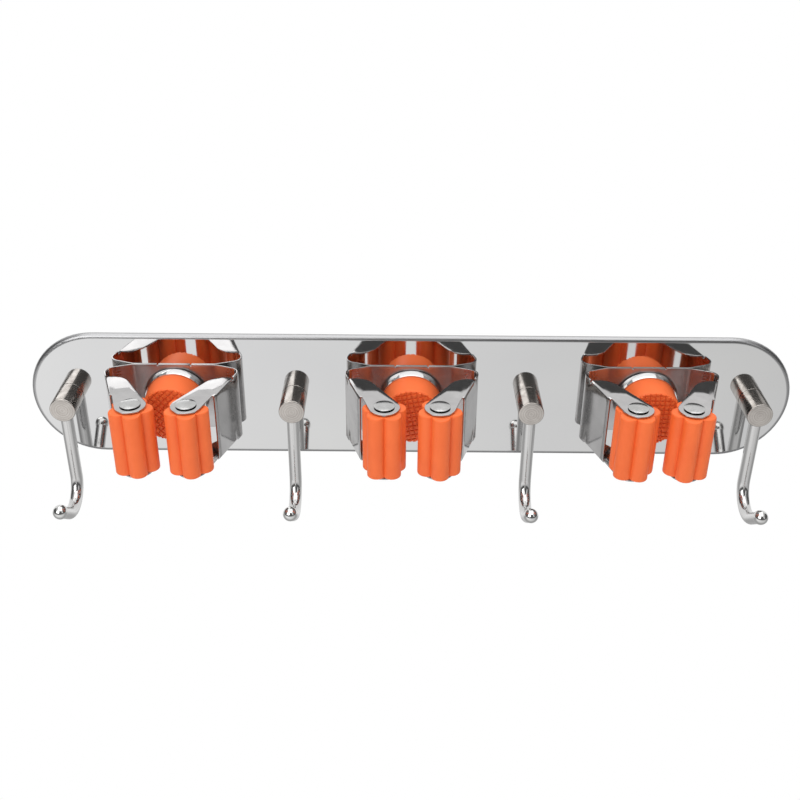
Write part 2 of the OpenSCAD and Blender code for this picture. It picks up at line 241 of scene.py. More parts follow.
def polished_plate_steel():
    """Mirror sheet with a faint haze and wiped smudges, satin and darkened by painted shade on its rounded
    edge.
    """
    finish, graph, shader, place = new_finish("polished_plate_steel", metallic=1)
    haze = graph.noise(place, scale=60, detail=5)
    smudge = graph.noise(place, scale=9, detail=2, stretch=(1, 1, 1.6))
    tone = graph.two_tone(graph.spread(smudge, 0, 1), (0.625, 0.625, 0.63), (0.66, 0.66, 0.655))
    parts = graph.add("ShaderNodeSeparateXYZ", {"Vector": place})
    spine_end = PLATE_HALF_W - PLATE_HALF_H
    past_spine = graph.math("SUBTRACT", graph.math("ABSOLUTE", parts.outputs["X"]), spine_end)
    past_spine = graph.math("MAXIMUM", past_spine, 0.0)
    from_spine = graph.add("ShaderNodeCombineXYZ", {"X": past_spine, "Y": parts.outputs["Z"]}).outputs[0]
    reach = graph.add("ShaderNodeVectorMath", {0: from_spine}, operation="LENGTH").outputs["Value"]
    edge_start = PLATE_HALF_H - PLATE_ROUND
    on_edge = graph.spread(reach, 0.0, 1.0, edge_start - FINISH_BLEND, edge_start + FINISH_BLEND)
    # Painted shade: the rounded edge takes a darker colour than the face; its added roughness is the satin
    # finish
    graph.feed(shader.inputs["Base Color"], graph.two_tone(on_edge, tone, PLATE_EDGE_SHADE_TONE))
    satin = graph.math("MULTIPLY_ADD", on_edge, PLATE_EDGE_ROUGHNESS, graph.spread(haze, 0.025, 0.07))
    graph.feed(shader.inputs["Roughness"], satin)
    return finish


def rolled_spring_steel():
    """Strip with fine rolling lines along its length, hazy on its back and brighter on its arms."""
    finish, graph, shader, place = new_finish("rolled_spring_steel", metallic=1)
    run = graph.add("ShaderNodeUVMap", uv_map="UVMap").outputs["UV"]
    lines = graph.noise(run, scale=1, detail=2, stretch=(25, 1800, 1))
    cloud = graph.noise(place, scale=120)
    tone = graph.two_tone(graph.spread(cloud, 0, 1), (0.47, 0.462, 0.462), (0.54, 0.532, 0.53))
    graph.feed(shader.inputs["Base Color"], tone)
    along = graph.add("ShaderNodeSeparateXYZ", {"Vector": run}).outputs["X"]
    haze = graph.spread(along, 0.2, 0.0, STRIP_HAZE_START, STRIP_HAZE_END)
    graph.feed(shader.inputs["Roughness"], graph.math("ADD", graph.spread(lines, 0.07, 0.13), haze))
    add_bump(graph, shader, lines, strength=0.05, distance=0.02 * MM)
    return finish


def turned_post_steel():
    """Lathe-turned bar with tool rings and dull blotches, cleaner on its end."""
    finish, graph, shader, place = new_finish("turned_post_steel", metallic=1)
    run = graph.add("ShaderNodeUVMap", uv_map="UVMap").outputs["UV"]
    rings = graph.noise(run, scale=1, stretch=(0, 1500, 0))
    blotch = graph.noise(place, scale=260, detail=4)
    tone = graph.two_tone(graph.spread(blotch, 0, 1), (0.35, 0.32, 0.295), (0.52, 0.49, 0.46))
    along = graph.add("ShaderNodeSeparateXYZ", {"Vector": run}).outputs["Y"]
    end_start = POST_R + POST_LEN - POST_EDGE
    on_end = graph.spread(along, 0.0, POST_END_SHARE, end_start, end_start + FINISH_BLEND)
    end_tone = graph.two_tone(graph.spread(rings, 0, 1), (0.4, 0.365, 0.335), (0.6, 0.57, 0.54))
    graph.feed(shader.inputs["Base Color"], graph.two_tone(on_end, tone, end_tone))
    graph.feed(shader.inputs["Roughness"], graph.spread(blotch, 0.27, 0.16))
    add_bump(graph, shader, rings, strength=0.1, distance=0.05 * MM)
    return finish


def drawn_rod_steel():
    """Satin rod with drawing streaks that follow its bend."""
    finish, graph, shader, place = new_finish("drawn_rod_steel", metallic=1)
    ring = graph.add("ShaderNodeAttribute", attribute_name="ring").outputs["Vector"]
    along = graph.add("ShaderNodeAttribute", attribute_name="along").outputs["Fac"]
    parts = graph.add("ShaderNodeSeparateXYZ", {"Vector": ring}).outputs
    track = graph.add("ShaderNodeCombineXYZ", {"X": parts["X"], "Y": parts["Y"], "Z": along})
    streaks = graph.noise(track.outputs["Vector"], scale=1, stretch=(2200, 2200, 14))
    cloud = graph.noise(place, scale=180)
    tone = graph.two_tone(graph.spread(streaks, 0, 1), (0.55, 0.545, 0.54), (0.67, 0.665, 0.66))
    graph.feed(shader.inputs["Base Color"], tone)
    graph.feed(shader.inputs["Roughness"], graph.spread(cloud, 0.1, 0.17))
    add_bump(graph, shader, streaks, strength=0.03, distance=0.02 * MM)
    return finish


def bright_steel(name, low_tone, high_tone, smooth, rough):
    """Polished steel with fine handling scratches."""
    finish, graph, shader, place = new_finish(name, metallic=1)
    cloud = graph.noise(place, scale=220, detail=4)
    scratch = graph.noise(place, scale=1, detail=2, stretch=(900, 500, 2600))
    tone = graph.two_tone(graph.spread(cloud, 0, 1), low_tone, high_tone)
    graph.feed(shader.inputs["Base Color"], tone)
    graph.feed(shader.inputs["Roughness"], graph.spread(cloud, smooth, rough))
    add_bump(graph, shader, scratch, strength=0.03, distance=0.02 * MM)
    return finish


def moulded_orange_rubber():
    """Matt moulded rubber with a fine grain and slight colour drift."""
    finish, graph, shader, place = new_finish("moulded_orange_rubber")
    drift = graph.noise(place, scale=70)
    grain = graph.noise(place, scale=2400, detail=2)
    tone = graph.two_tone(graph.spread(drift, 0, 1), (0.79, 0.134, 0.028), (0.83, 0.152, 0.035))
    graph.feed(shader.inputs["Base Color"], tone)
    graph.feed(shader.inputs["Roughness"], graph.spread(drift, 0.46, 0.58))
    shader.inputs["Specular IOR Level"].default_value = 0.35
    add_bump(graph, shader, grain, strength=0.12, distance=0.05 * MM)
    return finish


def grey_foam():
    """Closed-cell foam tape with small pores."""
    finish, graph, shader, place = new_finish("grey_foam")
    cells = graph.add("ShaderNodeTexVoronoi", {"Vector": place, "Scale": 900.0}).outputs["Distance"]
    drift = graph.noise(place, scale=40, detail=4)
    tone = graph.two_tone(graph.spread(drift, 0, 1), (0.11, 0.11, 0.115), (0.17, 0.17, 0.175))
    graph.feed(shader.inputs["Base Color"], tone)
    shader.inputs["Roughness"].default_value = 0.85
    add_bump(graph, shader, cells, strength=0.4, distance=0.2 * MM)
    return finish


PLATE_STEEL = polished_plate_steel()
SPRING_STEEL = rolled_spring_steel()
POST_STEEL = turned_post_steel()
ROD_STEEL = drawn_rod_steel()
RIVET_STEEL = bright_steel("satin_rivet_steel", (0.48, 0.48, 0.475), (0.56, 0.56, 0.555), 0.12, 0.22)
BALL_STEEL = bright_steel("bright_ball_steel", (0.60, 0.60, 0.59), (0.68, 0.68, 0.67), 0.05, 0.12)
CHROME = bright_steel("bright_cup_chrome", (0.66, 0.66, 0.66), (0.72, 0.72, 0.72), 0.05, 0.1)
PLAIN_STEEL = bright_steel("plain_fastener_steel", (0.50, 0.50, 0.49), (0.58, 0.58, 0.57), 0.25, 0.4)
RUBBER = moulded_orange_rubber()
FOAM = grey_foam()


# Mesh tools


def arc(centre, radius, start, end, steps):
    """Points of an arc in a flat drawing, from one angle to another in degrees."""
    angles = [math.radians(start + (end - start) * k / steps) for k in range(steps + 1)]
    return [(centre[0] + radius * math.cos(a), centre[1] + radius * math.sin(a)) for a in angles]


def lathe(profile, sides=72, ring=False):
    """Turns (radius, height) points round z. A ring's profile closes on itself. UV is (turn, run)."""
    bm = bmesh.new()
    uv = bm.loops.layers.uv.new("UVMap")
    points = profile + profile[:1] if ring else profile
    runs = [0.0]
    for here, there in zip(points, points[1:]):
        runs.append(runs[-1] + math.dist(here, there))
    rings = []
    for radius, height in profile:
        turns = [2 * math.pi * k / sides for k in range(sides if radius > 0 else 1)]
        rings.append([bm.verts.new((radius * math.cos(t), radius * math.sin(t), height)) for t in turns])
    if ring:
        rings.append(rings[0])
    for row, (low, high) in enumerate(zip(rings, rings[1:])):
        for k in range(sides):
            corners = []
            for loop, step, level in ((low, 0, row), (low, 1, row), (high, 1, row + 1), (high, 0, row + 1)):
                vert = loop[(k + step) % len(loop)]
                if all(vert is not other for other, _ in corners):
                    corners.append((vert, ((k + step) / sides, runs[level])))
            face = bm.faces.new([vert for vert, _ in corners])
            for face_loop, (_, place) in zip(face.loops, corners):
                face_loop[uv].uv = place
    bmesh.ops.recalc_face_normals(bm, faces=bm.faces)
    return bm


def settle(mesh, place, sharp=SHARP_ANGLE):
    """Puts a mesh in its place and smooths it, except at its sharp edges."""
    mesh.transform(place)
    mesh.shade_smooth()
    mesh.set_sharp_from_angle(angle=math.radians(sharp))
    return mesh


def plain_mesh(bm, name, place=Matrix.Identity(4), sharp=SHARP_ANGLE):
    """Turns a bmesh into a mesh that is settled in its place."""
    mesh = bpy.data.meshes.new(name)
    bm.to_mesh(mesh)
    bm.free()
    return settle(mesh, place, sharp)


def add_piece(mesh, finish, slot, *stands_for):
    """Shows a finished mesh as a piece that stands for CAD nodes."""
    piece = bpy.data.objects.new(mesh.name, mesh)
    bpy.context.scene.collection.objects.link(piece)
    mesh.materials.clear()
    mesh.materials.append(finish)
    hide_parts(*stands_for)
    return piece


def evaluated_mesh(holder):
    """The mesh that an object's modifiers make. The object is removed."""
    depsgraph = bpy.context.evaluated_depsgraph_get()
    mesh = bpy.data.meshes.new_from_object(holder.evaluated_get(depsgraph))
    holder.modifiers.clear()
    bpy.data.objects.remove(holder)
    return mesh


def new_holder(mesh):
    """An object that only carries modifiers for a mesh."""
    holder = bpy.data.objects.new("holder", mesh)
    bpy.context.scene.collection.objects.link(holder)
    return holder


def round_edges(bm, width, keep=lambda edge: False):
    """Rounds off the edges that turn sharply, apart from those to keep."""
    limit = math.radians(ROUNDED_ANGLE)
    edges = [e for e in bm.edges if e.is_manifold and e.calc_face_angle() > limit and not keep(e)]
    bmesh.ops.bevel(
        bm, geom=edges, offset=width, offset_type="OFFSET", segments=2, profile=0.5,
        affect="EDGES", clamp_overlap=True,
    )


def on_plate(x):
    """A place on the plate's front, where local z points out of the plate and local y is up."""
    return Matrix.Translation((x, FRONT_Y, 0)) @ Matrix.Rotation(math.pi / 2, 4, "X")


# Geometry Nodes


def new_tree(name, sizes):
    """A geometry tree with named sizes and a finish as inputs. Returns its graph and those inputs."""
    tree = bpy.data.node_groups.new(name, "GeometryNodeTree")
    tree.interface.new_socket(name="Geometry", in_out="OUTPUT", socket_type="NodeSocketGeometry")
    for size in sizes:
        tree.interface.new_socket(name=size, in_out="INPUT", socket_type="NodeSocketFloat")
    tree.interface.new_socket(name="Finish", in_out="INPUT", socket_type="NodeSocketMaterial")
    graph = Graph(tree)
    return graph, graph.add("NodeGroupInput").outputs


def close_tree(graph, geometry, finish):
    """Ends a tree with real geometry in its finish."""
    real = graph.add("GeometryNodeRealizeInstances", {"Geometry": geometry}).outputs[0]
    faced = graph.add("GeometryNodeSetMaterial", {"Geometry": real, "Material": finish}).outputs[0]
    graph.add("NodeGroupOutput", {"Geometry": faced})
    return graph.tree


def grow(tree, **sizes):
    """Runs a tree with these sizes, named as its inputs are, and returns a plain mesh."""
    holder = new_holder(bpy.data.meshes.new("seed"))
    modifier = holder.modifiers.new("grow", "NODES")
    modifier.node_group = tree
    for item in tree.interface.items_tree:
        if item.in_out == "INPUT":
            modifier[item.identifier] = sizes[item.name]
    return evaluated_mesh(holder)


def hook_rod_tree():
    """Sweeps a round rod down from its post, round the bend and up the tip."""
    points = 150
    sides = 40
    sizes = ("Radius", "Out", "Top", "Drop", "Bend_Radius", "Bend_Turn", "Tip")
    graph, given = new_tree("hook_rod_sweep", sizes)
    index = graph.add("GeometryNodeInputIndex").outputs[0]
    straight = graph.math("ADD", given["Top"], given["Drop"])
    bend = graph.math("MULTIPLY", given["Bend_Radius"], given["Bend_Turn"])
    total = graph.math("ADD", graph.math("ADD", straight, bend), given["Tip"])
    run = graph.math("MULTIPLY", graph.math("DIVIDE", index, points - 1.0), total)
    fallen = graph.math("MINIMUM", run, straight)
    past = graph.math("MAXIMUM", graph.math("SUBTRACT", run, straight), 0.0)
    turned = graph.math("MINIMUM", graph.math("DIVIDE", past, given["Bend_Radius"]), given["Bend_Turn"])
    tip = graph.math("MAXIMUM", graph.math("SUBTRACT", past, bend), 0.0)

    swing = graph.math("SUBTRACT", 1.0, graph.math("COSINE", turned))
    out = graph.math("MULTIPLY_ADD", given["Bend_Radius"], swing, given["Out"])
    out = graph.math("MULTIPLY_ADD", tip, graph.math("SINE", given["Bend_Turn"]), out)
    down = graph.math("MULTIPLY_ADD", given["Bend_Radius"], graph.math("SINE", turned), fallen)
    down = graph.math("MULTIPLY_ADD", tip, graph.math("COSINE", given["Bend_Turn"]), down)
    height = graph.math("SUBTRACT", given["Top"], down)
    place = graph.add("ShaderNodeCombineXYZ", {"Y": graph.math("MULTIPLY", out, -1.0), "Z": height})

    line = graph.add("GeometryNodeMeshLine", {"Count": points}).outputs[0]
    bent = graph.add("GeometryNodeSetPosition", {"Geometry": line, "Position": place.outputs[0]})
    path = graph.add("GeometryNodeMeshToCurve", {"Mesh": bent.outputs[0]}).outputs[0]
    length = graph.add("GeometryNodeSplineParameter").outputs["Length"]
    path = graph.add(
        "GeometryNodeStoreNamedAttribute", {"Geometry": path, "Name": "along", "Value": length},
        data_type="FLOAT", domain="POINT",
    ).outputs[0]
    circle = graph.add("GeometryNodeCurvePrimitiveCircle", {"Resolution": sides, "Radius": given["Radius"]})
    spot = graph.add("GeometryNodeInputPosition").outputs[0]
    section = graph.add(
        "GeometryNodeStoreNamedAttribute", {"Geometry": circle.outputs[0], "Name": "ring", "Value": spot},
        data_type="FLOAT_VECTOR", domain="POINT",
    ).outputs[0]
    swept = graph.add(
        "GeometryNodeCurveToMesh", {"Curve": path, "Profile Curve": section, "Fill Caps": True},
    ).outputs[0]
    return close_tree(graph, swept, given["Finish"])


def roller_tree():
    """Sweeps a lobed outline up a roller's axis, drawn in at both ends."""
    end_steps = 5
    points_per_lobe = 16
    bore_sides = 48
    sizes = ("Radius", "Lobe_Radius", "Lobes", "Height", "End_Round", "Bore_Radius", "Turn")
    graph, given = new_tree("lobed_roller", sizes)

    around = graph.add("GeometryNodeSplineParameter").outputs["Factor"]
    angle = graph.math("MULTIPLY", around, 2 * math.pi)
    share = graph.math("DIVIDE", 2 * math.pi, given["Lobes"])
    half_share = graph.math("DIVIDE", share, 2.0)
    off = graph.math("SUBTRACT", graph.math("FLOORED_MODULO", angle, share), half_share)
    lobe_out = graph.math("SUBTRACT", given["Radius"], given["Lobe_Radius"])
    across = graph.math("MULTIPLY", lobe_out, graph.math("SINE", off))
    lobe_square = graph.math("POWER", given["Lobe_Radius"], 2.0)
    chord = graph.math("SUBTRACT", lobe_square, graph.math("POWER", across, 2.0))
    reach = graph.math("MULTIPLY_ADD", lobe_out, graph.math("COSINE", off), graph.math("SQRT", chord))
    aim = graph.math("ADD", angle, given["Turn"])
    spot = graph.add("ShaderNodeCombineXYZ", {
        "X": graph.math("MULTIPLY", reach, graph.math("COSINE", aim)),
        "Y": graph.math("MULTIPLY", reach, graph.math("SINE", aim)),
    }).outputs[0]
    around_points = LOBES * points_per_lobe
    circle = graph.add("GeometryNodeCurvePrimitiveCircle", {"Resolution": around_points}).outputs[0]
    outline = graph.add("GeometryNodeSetPosition", {"Geometry": circle, "Position": spot}).outputs[0]

    index = graph.add("GeometryNodeInputIndex").outputs[0]
    from_middle = graph.math("SUBTRACT", index, end_steps + 0.5)
    step = graph.math("SUBTRACT", graph.math("ABSOLUTE", from_middle), 0.5)
    turn_in = graph.math("MULTIPLY", step, math.pi / 2 / end_steps)
    straight = graph.math("SUBTRACT", graph.math("DIVIDE", given["Height"], 2.0), given["End_Round"])
    rise = graph.math("MULTIPLY_ADD", given["End_Round"], graph.math("SINE", turn_in), straight)
    height = graph.math("MULTIPLY", rise, graph.math("SIGN", from_middle))
    tucked = graph.math("SUBTRACT", 1.0, graph.math("COSINE", turn_in))
    drawn_in = graph.math("MULTIPLY", given["End_Round"], tucked)
    scale = graph.math("SUBTRACT", 1.0, graph.math("DIVIDE", drawn_in, given["Radius"]))
    axis_spot = graph.add("ShaderNodeCombineXYZ", {"Z": height}).outputs[0]
    line = graph.add("GeometryNodeMeshLine", {"Count": 2 * end_steps + 2}).outputs[0]
    axis = graph.add("GeometryNodeSetPosition", {"Geometry": line, "Position": axis_spot}).outputs[0]
    axis = graph.add("GeometryNodeMeshToCurve", {"Mesh": axis}).outputs[0]
    swept = graph.add("GeometryNodeCurveToMesh", {
        "Curve": axis, "Profile Curve": outline, "Scale": scale, "Fill Caps": True,
    }).outputs[0]

    long = graph.math("MULTIPLY", given["Height"], 2.0)
    bore = graph.add("GeometryNodeMeshCylinder", {
        "Vertices": bore_sides, "Radius": given["Bore_Radius"], "Depth": long,
    }).outputs["Mesh"]
    bored = graph.add("GeometryNodeMeshBoolean", operation="DIFFERENCE", solver="EXACT")
    graph.feed(bored.inputs[0], swept)
    graph.feed(bored.inputs[1], bore)
    return close_tree(graph, bored.outputs[0], given["Finish"])


def waffle_tree():
    """Sets small square pads in rows and cuts them off round a field."""
    pads_across = 12
    field_sides = 96
    sizes = ("Pitch", "Pad_Width", "Pad_Top", "Pad_Height", "Field_Radius", "Turn")
    graph, given = new_tree("waffle_pads", sizes)
    side = graph.math("MULTIPLY", given["Pitch"], pads_across - 1.0)
    grid = graph.add("GeometryNodeMeshGrid", {
        "Size X": side, "Size Y": side, "Vertices X": pads_across, "Vertices Y": pads_across,
    }).outputs["Mesh"]
    half_diagonal = math.sqrt(0.5)
    pad = graph.add("GeometryNodeMeshCone", {
        "Vertices": 4,
        "Radius Top": graph.math("MULTIPLY", given["Pad_Top"], half_diagonal),
        "Radius Bottom": graph.math("MULTIPLY", given["Pad_Width"], half_diagonal),
        "Depth": given["Pad_Height"],
    }).outputs["Mesh"]
    eighth_turn = (0, 0, math.pi / 4)
    square = graph.add("GeometryNodeTransform", {"Geometry": pad, "Rotation": eighth_turn}).outputs[0]
    set_out = graph.add("GeometryNodeInstanceOnPoints", {"Points": grid, "Instance": square}).outputs[0]
    spin = graph.add("ShaderNodeCombineXYZ", {"Z": given["Turn"]}).outputs[0]
    turned = graph.add("GeometryNodeTransform", {"Geometry": set_out, "Rotation": spin}).outputs[0]
    pads = graph.add("GeometryNodeRealizeInstances", {"Geometry": turned}).outputs[0]
    deep = graph.math("MULTIPLY", given["Pad_Height"], 4.0)
    field = graph.add("GeometryNodeMeshCylinder", {
        "Vertices": field_sides, "Radius": given["Field_Radius"], "Depth": deep,
    }).outputs["Mesh"]
    cut = graph.add("GeometryNodeMeshBoolean", operation="INTERSECT", solver="EXACT")
    graph.feed(cut.inputs[1], pads)
    graph.feed(cut.inputs[1], field)
    return close_tree(graph, cut.outputs[0], given["Finish"])


# Fixed pieces that keep their CAD shape


def dress_cad_nodes():
    """Gives the nodes that stay as they are their finishes."""
    dress = {
        "wall_plate": PLATE_STEEL,
        "adhesive_pad": FOAM,
        "post_screws": PLAIN_STEEL,
        "cup_rivets": PLAIN_STEEL,
    }
    for node, finish in dress.items():
        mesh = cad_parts[node].data
        mesh.materials.clear()
        mesh.materials.append(finish)


# Hooks


def hook_post(i):
    """Turned post with a rounded end and a chamfer at its foot."""
    edge = arc((POST_R - POST_EDGE, POST_LEN - POST_EDGE), POST_EDGE, 0, 90, 4)
    bm = lathe([(0, 0), (POST_R - POST_FOOT, 0), (POST_R, POST_FOOT), *edge, (0, POST_LEN)])
    mesh = plain_mesh(bm, f"post_{i}", on_plate(HOOK_X[i]))
    piece = add_piece(mesh, POST_STEEL, "turned_steel", f"hook_post_{i}")
    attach(piece, "rack")


def hook_rod(i, tree):
    """Rod that comes out of its post and bends forward into a hook."""
    mesh = grow(
        tree, Radius=ROD_R, Out=ROD_OUT, Top=ROD_TOP, Drop=HOOK_DROP, Bend_Radius=BEND_R,
        Bend_Turn=BEND_TURN, Tip=TIP_LEN, Finish=ROD_STEEL,
    )
    mesh.name = f"rod_{i}"
    settle(mesh, Matrix.Translation((HOOK_X[i], FRONT_Y, 0)))
    piece = add_piece(mesh, ROD_STEEL, "satin_steel", f"hook_rod_{i}")
    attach(piece, "rack")


def hook_ball(i):
    """A ball that grows out of the rod's end."""
    aim = Vector((0, -math.sin(BEND_TURN), -math.cos(BEND_TURN)))
    out = ROD_OUT + BEND_R * (1 - math.cos(BEND_TURN))
    start = Vector((HOOK_X[i], FRONT_Y - out, -HOOK_DROP - BEND_R * math.sin(BEND_TURN)))
    neck = math.degrees(math.acos(ROD_R / BALL_R))
    centre = math.sqrt(BALL_R ** 2 - ROD_R ** 2)
    bm = lathe([(0, 0), *arc((0, centre), BALL_R, -neck, 90, 20)[:-1], (0, centre + BALL_R)], sides=48)
    place = Matrix.Translation(start + aim * TIP_LEN) @ aim.to_track_quat("Z", "Y").to_matrix().to_4x4()
    piece = add_piece(plain_mesh(bm, f"ball_{i}", place), BALL_STEEL, "satin_steel", f"hook_ball_{i}")
    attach(piece, "rack")


# Clips


def turned(point, angle):
    """A flat point turned round the origin."""
    return Vector((
        point[0] * math.cos(angle) - point[1] * math.sin(angle),
        point[0] * math.sin(angle) + point[1] * math.cos(angle),
    ))


def bearing(run):
    """Angle of a flat vector in degrees."""
    return math.degrees(math.atan2(run.y, run.x))


def tangent(c1, r1, c2, r2, side):
    """Ends of the line that touches two circles on the same side."""
    run = Vector(c2) - Vector(c1)
    aim = math.atan2(run.y, run.x) + side * math.acos((r1 - r2) / run.length)
    out = Vector((math.cos(aim), math.sin(aim)))
    return Vector(c1) + r1 * out, Vector(c2) + r2 * out


# Plan of the right half of a strip: (distance from the clip's middle, distance from the plate)
WING_WAY = Vector((math.cos(WING_TURN), math.sin(WING_TURN)))
WING_START = Vector((FLAT_HALF + WING_BEND_R * WING_WAY.y, WING_BEND_R * (1 - WING_WAY.x)))
WING_LEN = (CLIP_HALF - CORNER_R * (1 - WING_WAY.y) - WING_START.x) / WING_WAY.x
WING_END = WING_START + WING_LEN * WING_WAY
CORNER_C = WING_END + CORNER_R * Vector((-WING_WAY.y, WING_WAY.x))
AXLE_RUN = Vector((AXLE_X, AXLE_OUT)) - CORNER_C
AXLE_SWING = math.acos((CORNER_R - AXLE_INSET) / AXLE_RUN.length)
ARM_LEAN = math.atan2(AXLE_RUN.y, AXLE_RUN.x) - AXLE_SWING

# The arm in its own frame: (distance outwards from the corner's centre, distance along the arm)
AXLE_C = Vector((CORNER_R - AXLE_INSET, AXLE_RUN.length * math.sin(AXLE_SWING)))
ARM_LEN = AXLE_C.y - ROLLER_R - ARM_CLEAR
EAR_EDGE = CORNER_R - EAR_BEND_R
EAR_ROOT_C = Vector((CORNER_R, EAR_START + EAR_ROOT_R))
EAR_ROOT_Y = EAR_ROOT_C.y - math.sqrt(EAR_ROOT_R ** 2 - EAR_BEND_R ** 2)

# Heights of the points across a strip, and those of them between the arm's two relief notches
HALF_H = STRIP_H / 2
UPPER_ROWS = [HALF_H / 2, HALF_H - RELIEF_DEPTH, HALF_H - SLIT_DEPTH, HALF_H]
ROWS = [-z for z in reversed(UPPER_ROWS)] + [0.0] + UPPER_ROWS
ARM_ROWS = slice(2, -2)


def in_plan(arm_point):
    """A point of the arm's own frame in the strip's plan."""
    return CORNER_C + turned(arm_point, ARM_LEAN)


def strip_columns():
    """The outer face in plan from the seam to the arm's relief notches, and the column before the slits."""
    columns = [Vector((x, 0)) for x in (SEAM_X, SLIT_X - SLIT_W / 2, SLIT_X + SLIT_W / 2, FLAT_HALF)]
    slit_column = 1
    bend_steps = 6
    for k in range(1, bend_steps + 1):
        a = WING_TURN * k / bend_steps
        columns.append(Vector((FLAT_HALF + WING_BEND_R * math.sin(a), WING_BEND_R * (1 - math.cos(a)))))
    columns += [WING_START.lerp(WING_END, 0.5), WING_END]
    corner_steps = 20
    corner_turn = math.pi / 2 + ARM_LEAN - WING_TURN
    for k in range(1, corner_steps + 1):
        a = WING_TURN + corner_turn * k / corner_steps
        columns.append(CORNER_C + CORNER_R * Vector((math.sin(a), -math.cos(a))))
    columns.append(in_plan((CORNER_R, EAR_START - RELIEF_W)))
    return columns, slit_column


def ear_outline():
    """An ear's free edge in the arm's frame, from the arm's front edge round the tip to the root."""
    outer = tangent((EAR_EDGE, ARM_LEN), 0, AXLE_C, EAR_TIP_R, -1)
    inner = tangent(EAR_ROOT_C, EAR_ROOT_R, AXLE_C, EAR_TIP_R, 1)
    first = bearing(outer[1] - AXLE_C)
    last = bearing(inner[1] - AXLE_C)
    tip = arc(AXLE_C, EAR_TIP_R, first, last if last > first else last + 360, 24)
    root_first = bearing(inner[0] - EAR_ROOT_C)
    root_last = bearing(Vector((EAR_EDGE, EAR_ROOT_Y)) - EAR_ROOT_C)
    root = arc(EAR_ROOT_C, EAR_ROOT_R, root_first % 360, root_last % 360, 14)
    return tip + root[:-1]


class WingSheet:
    """The sheet of one half of a clip. Its points know where they lie before it is bent."""

    def __init__(self, i, side):
        self.bm = bmesh.new()
        self.uv = self.bm.loops.layers.uv.new("UVMap")
        self.middle = CLIP_X[i]
        self.side = SIDES[side]
        self.unrolled = {}

    def place(self, plan, z=0.0):
        return Vector((self.middle + self.side * plan[0], FRONT_Y - plan[1], z))

    def vert(self, plan, z, run, rise):
        """A point in plan at a height, with its place along and across the flat strip."""
        new = self.bm.verts.new(self.place(plan, z))
        self.unrolled[new] = (run, rise)
        return new

    def join(self, here, there, skip=()):
        """Faces between two columns of points, apart from the rows to skip."""
        for row in range(len(here) - 1):
            if row not in skip:
                self.bm.faces.new((here[row], there[row], there[row + 1], here[row + 1]))

    def unroll(self):
        """Gives the faces their UVs on the flat strip."""
        for face in self.bm.faces:
            for loop in face.loops:
                loop[self.uv].uv = self.unrolled[loop.vert]


def bend_wing(sheet):
    """Wing and corner, from the seam to the arm's notches. Returns the points there and their run."""
    columns, slit_column = strip_columns()
    slits = (0, len(ROWS) - 2)
    run = 0.0
    points = []
    for k, plan in enumerate(columns):
        run += (plan - columns[k - 1]).length if k else 0.0
        points.append([sheet.vert(plan, z, run, z) for z in ROWS])
    for k, (here, there) in enumerate(zip(points, points[1:])):
        sheet.join(here, there, slits if k == slit_column else ())
    return points[-1][ARM_ROWS], run


def bend_arm(sheet, notch, arm_run):
    """Arm and the bends to its ears. Returns its columns, from one ear's bend line to the other's."""
    bend_z = HALF_H - EAR_BEND_R
    bend_steps = 5
    arm_steps = 6
    arm = []
    for k in range(arm_steps + 1):
        y = EAR_START + (ARM_LEN - EAR_START) * k / arm_steps
        along = arm_run + y - EAR_START
        wall_rows = (-bend_z, *ROWS[ARM_ROWS], bend_z)
        wall = [sheet.vert(in_plan((CORNER_R, y)), z, along, z) for z in wall_rows]
        bends = {-1: [], 1: []}
        for end, bend in bends.items():
            for step in range(1, bend_steps + 1):
                a = math.pi / 2 * step / bend_steps
                at_root = k == 0 and step == bend_steps
                spot = (EAR_EDGE + EAR_BEND_R * math.cos(a), EAR_ROOT_Y if at_root else y)
                height = end * (bend_z + EAR_BEND_R * math.sin(a))
                rise = end * (bend_z + EAR_BEND_R * a)
                bend.append(sheet.vert(in_plan(spot), height, along, rise))
        arm.append(bends[-1][::-1] + wall + bends[1])
    foot = bend_steps + 1
    sheet.join(notch, arm[0][foot:foot + len(notch)])
    for here, there in zip(arm, arm[1:]):
        sheet.join(here, there)
    return arm


def flat_ear(sheet, end, bend_line, arm_run):
    """Flat ear at the upper or lower end of the arm, with its axle hole."""

    def ear_vert(point):
        rise = end * (HALF_H + EAR_EDGE - point[0])
        return sheet.vert(in_plan(point), end * HALF_H, arm_run + point[1] - EAR_START, rise)

    free = [ear_vert(point) for point in ear_outline()]
    hole = [ear_vert(point) for point in arc(AXLE_C, AXLE_R, 0, 360, 32)[:-1]]
    edges = []
    for loop in (bend_line + free, hole):
        for pair in zip(loop, loop[1:] + loop[:1]):
            edges.append(sheet.bm.edges.get(pair) or sheet.bm.edges.new(pair))
    bmesh.ops.triangle_fill(sheet.bm, edges=edges, use_beauty=True)


def clip_wing(i, side):
    """One half of a clip: its wing, corner, arm and two ears, as one bent sheet."""
    sheet = WingSheet(i, side)
    notch, run = bend_wing(sheet)
    arm_run = run + RELIEF_W
    arm = bend_arm(sheet, notch, arm_run)
    flat_ear(sheet, -1, [column[0] for column in arm], arm_run)
    flat_ear(sheet, 1, [column[-1] for column in arm], arm_run)
    sheet.unroll()
    mesh = thick_sheet(sheet.bm, f"clip_{i}_{side}", sheet.place((SEAM_X, 0)).x)
    piece = add_piece(mesh, SPRING_STEEL, "spring_steel", f"clip_arm_{i}_{side}")
    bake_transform(piece)


